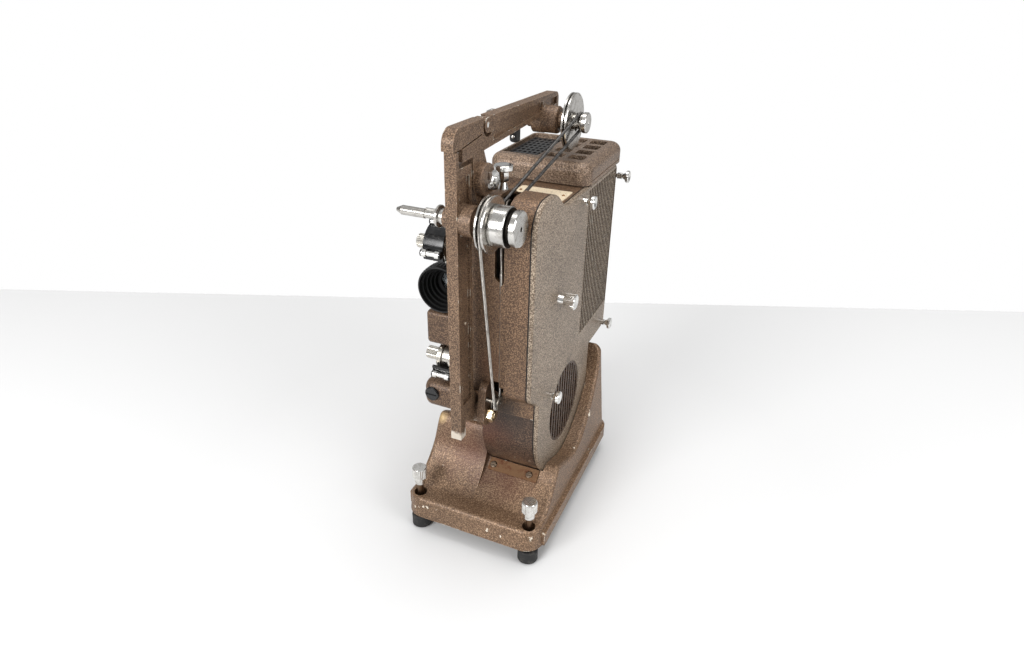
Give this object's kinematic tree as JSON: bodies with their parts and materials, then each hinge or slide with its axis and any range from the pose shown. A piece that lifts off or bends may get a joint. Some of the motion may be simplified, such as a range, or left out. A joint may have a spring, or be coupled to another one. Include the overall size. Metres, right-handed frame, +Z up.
{
  "type": "movie projector",
  "caption": "Small cine projector with a ribbed side cover, round blower grille, louvred lamp cap, lens, film gate, sprockets and folding spool arms on a swept cast base.",
  "frame": {"origin": "on the table, under the middle of the whole machine", "axes": "+Z up, -Y the way the lens looks, +X towards the plain ribbed side cover, film path on the -X side"},
  "size_m": [0.15, 0.2765, 0.4145],
  "materials": {
    "brown_casting": "hammered enamel",
    "brown_cover": "hammered enamel",
    "brown_steel": "satin enamel",
    "black_enamel": "gloss enamel",
    "chromed": "polished",
    "steel": "turned",
    "aged_steel": "aged",
    "black_lens": "satin black",
    "black_rubber": "matte",
    "glass_clear": "clear",
    "mirror_bright": "polished",
    "tan_plate": "satin",
    "grey_castings": "matte",
    "black_plastic": "gloss",
    "spring_wire": "coiled wire",
    "porcelain": "matte"
  },
  "bodies": {
    "frame": {"base": "brown_casting", "rear_feet": "black_rubber", "drum_clamp": "aged_steel", "drum_clamp_screws": "steel", "casing": "brown_casting", "blower_drum": "brown_casting", "nameplate": "tan_plate", "motor_housing": "brown_casting", "brush_cap": "black_plastic", "lamp_house": "brown_casting", "lamp": "glass_clear", "lamp_socket": "porcelain", "reflector": "mirror_bright", "condenser": "glass_clear", "gate_body": "brown_casting", "keeper_studs": "steel", "arm_bracket": "brown_casting", "root_fasteners": "chromed", "gear_case": "grey_castings", "low_pivot_bolt": "aged_steel", "side_cover": "brown_cover", "grille": "brown_steel"},
    "lamp_lid": {"lamp_cap": "brown_cover", "cap_screen": "black_enamel"},
    "tilt_left": {"tilt_screw_left": "chromed", "tilt_foot_left": "black_rubber"},
    "tilt_right": {"tilt_screw_right": "chromed", "tilt_foot_right": "black_rubber"},
    "screw_top": {"cover_screw_top": "chromed"},
    "screw_rear": {"cover_screw_rear": "chromed"},
    "screw_low": {"cover_screw_low": "chromed"},
    "screw_back": {"cover_screw_back": "chromed"},
    "clamp": {"clamp_knob": "chromed"},
    "thumb": {"top_thumb_screw": "chromed"},
    "blower": {"impeller": "grey_castings"},
    "lens_slide": {"lens_mount": "brown_casting", "pressure_plate": "chromed"},
    "lens": {"lens_barrel": "black_lens", "lens_glass": "glass_clear"},
    "sprocket_upper": {"upper_sprocket": "steel"},
    "sprocket_lower": {"lower_sprocket": "steel"},
    "keeper_upper": {"upper_keeper": "black_enamel"},
    "keeper_lower": {"lower_keeper": "black_enamel"},
    "roller_ua": {"upper_roller_a": "chromed"},
    "roller_ub": {"upper_roller_b": "chromed"},
    "roller_la": {"lower_roller_a": "chromed"},
    "roller_lb": {"lower_roller_b": "chromed"},
    "arm_upper": {"upper_arm": "brown_casting", "arm_buffer": "black_rubber", "supply_belt": "spring_wire"},
    "arm_lower": {"lower_arm": "brown_casting", "takeup_belt": "spring_wire"},
    "spindle_supply": {"supply_spindle": "chromed", "supply_pulley": "chromed", "supply_knob": "chromed"},
    "spindle_takeup": {"takeup_spindle": "chromed", "takeup_pulley": "chromed", "takeup_knob": "chromed"},
    "drive_supply": {"supply_drive_pulley": "steel"},
    "drive_takeup": {"takeup_drive_pulley": "steel"}
  },
  "joints": [
    {"name": "tilt_left", "type": "slide", "parent": "frame", "child": "tilt_left", "axis": [0, 0, 1], "range_m": [-0.012, 0.004]},
    {"name": "tilt_right", "type": "slide", "parent": "frame", "child": "tilt_right", "axis": [0, 0, 1], "range_m": [-0.012, 0.004]},
    {"name": "lamp_lid_lift", "type": "slide", "parent": "frame", "child": "lamp_lid", "axis": [0, 0, 1], "range_m": [0, 0.006]},
    {"name": "screw_top_turn", "type": "hinge", "parent": "frame", "child": "screw_top", "pos_m": [0.06, 0.013, 0.328], "axis": [1, 0, 0], "continuous": true},
    {"name": "screw_rear_turn", "type": "hinge", "parent": "frame", "child": "screw_rear", "pos_m": [0.06, 0.112, 0.1583], "axis": [1, 0, 0], "continuous": true},
    {"name": "screw_low_turn", "type": "hinge", "parent": "frame", "child": "screw_low", "pos_m": [0.06, -0.054, 0.158], "axis": [1, 0, 0], "continuous": true},
    {"name": "screw_back_turn", "type": "hinge", "parent": "frame", "child": "screw_back", "pos_m": [0.06, 0.131, 0.322], "axis": [1, 0, 0], "continuous": true},
    {"name": "clamp_turn", "type": "hinge", "parent": "frame", "child": "clamp", "pos_m": [0.06, -0.0356, 0.2504], "axis": [1, 0, 0], "continuous": true},
    {"name": "thumb_turn", "type": "hinge", "parent": "frame", "child": "thumb", "pos_m": [0.008, -0.0635, 0.365], "axis": [0, 0, 1], "continuous": true},
    {"name": "blower_spin", "type": "hinge", "parent": "frame", "child": "blower", "pos_m": [0, -0.002, 0.12], "axis": [1, 0, 0], "continuous": true},
    {"name": "gate_open", "type": "slide", "parent": "frame", "child": "lens_slide", "axis": [0, -1, 0], "range_m": [0, 0.007]},
    {"name": "lens_focus", "type": "slide", "parent": "lens_slide", "child": "lens", "axis": [0, -1, 0], "range_m": [0, 0.006]},
    {"name": "lower_sprocket_spin", "type": "hinge", "parent": "frame", "child": "sprocket_lower", "pos_m": [-0.037, -0.078, 0.19], "axis": [1, 0, 0], "continuous": true},
    {"name": "upper_sprocket_spin", "type": "hinge", "parent": "frame", "child": "sprocket_upper", "pos_m": [-0.037, -0.086, 0.305], "axis": [1, 0, 0], "continuous": true},
    {"name": "upper_keeper_swing", "type": "hinge", "parent": "frame", "child": "keeper_upper", "pos_m": [-0.037, -0.066, 0.317], "axis": [1, 0, 0], "range_deg": [-25, 0]},
    {"name": "lower_keeper_swing", "type": "hinge", "parent": "frame", "child": "keeper_lower", "pos_m": [-0.037, -0.058, 0.178], "axis": [1, 0, 0], "range_deg": [0, 8]},
    {"name": "roller_ua_spin", "type": "hinge", "parent": "keeper_upper", "child": "roller_ua", "pos_m": [-0.037, -0.08973, 0.32617], "axis": [1, 0, 0], "continuous": true},
    {"name": "roller_ub_spin", "type": "hinge", "parent": "keeper_upper", "child": "roller_ub", "pos_m": [-0.037, -0.10748, 0.30406], "axis": [1, 0, 0], "continuous": true},
    {"name": "roller_la_spin", "type": "hinge", "parent": "keeper_lower", "child": "roller_la", "pos_m": [-0.037, -0.07065, 0.1698], "axis": [1, 0, 0], "continuous": true},
    {"name": "roller_lb_spin", "type": "hinge", "parent": "keeper_lower", "child": "roller_lb", "pos_m": [-0.037, -0.09707, 0.18007], "axis": [1, 0, 0], "continuous": true},
    {"name": "upper_arm_fold", "type": "hinge", "parent": "frame", "child": "arm_upper", "pos_m": [-0.006, -0.073, 0.406], "axis": [1, 0, 0], "range_deg": [0, 90], "deforming": ["supply_belt"]},
    {"name": "lower_arm_fold", "type": "hinge", "parent": "frame", "child": "arm_lower", "pos_m": [-0.006, -0.0935, 0.1495], "axis": [1, 0, 0], "range_deg": [0, 90], "deforming": ["takeup_belt"]},
    {"name": "supply_spin", "type": "hinge", "parent": "arm_upper", "child": "spindle_supply", "pos_m": [0, 0.052, 0.389], "axis": [1, 0, 0], "continuous": true},
    {"name": "takeup_spin", "type": "hinge", "parent": "arm_lower", "child": "spindle_takeup", "pos_m": [0, -0.1155, 0.3415], "axis": [1, 0, 0], "continuous": true},
    {"name": "takeup_drive_spin", "type": "hinge", "parent": "frame", "child": "drive_takeup", "pos_m": [0.02, -0.0992, 0.168], "axis": [1, 0, 0], "continuous": true},
    {"name": "supply_drive_spin", "type": "hinge", "parent": "frame", "child": "drive_supply", "pos_m": [0.0195, -0.0845, 0.346], "axis": [1, 0, 0], "continuous": true}
  ],
  "couplings": [
    {"joint": "upper_sprocket_spin", "follows": "lower_sprocket_spin", "ratio": 1},
    {"joint": "supply_drive_spin", "follows": "supply_spin", "ratio": 1.3},
    {"joint": "takeup_drive_spin", "follows": "takeup_spin", "ratio": 3.2}
  ]
}
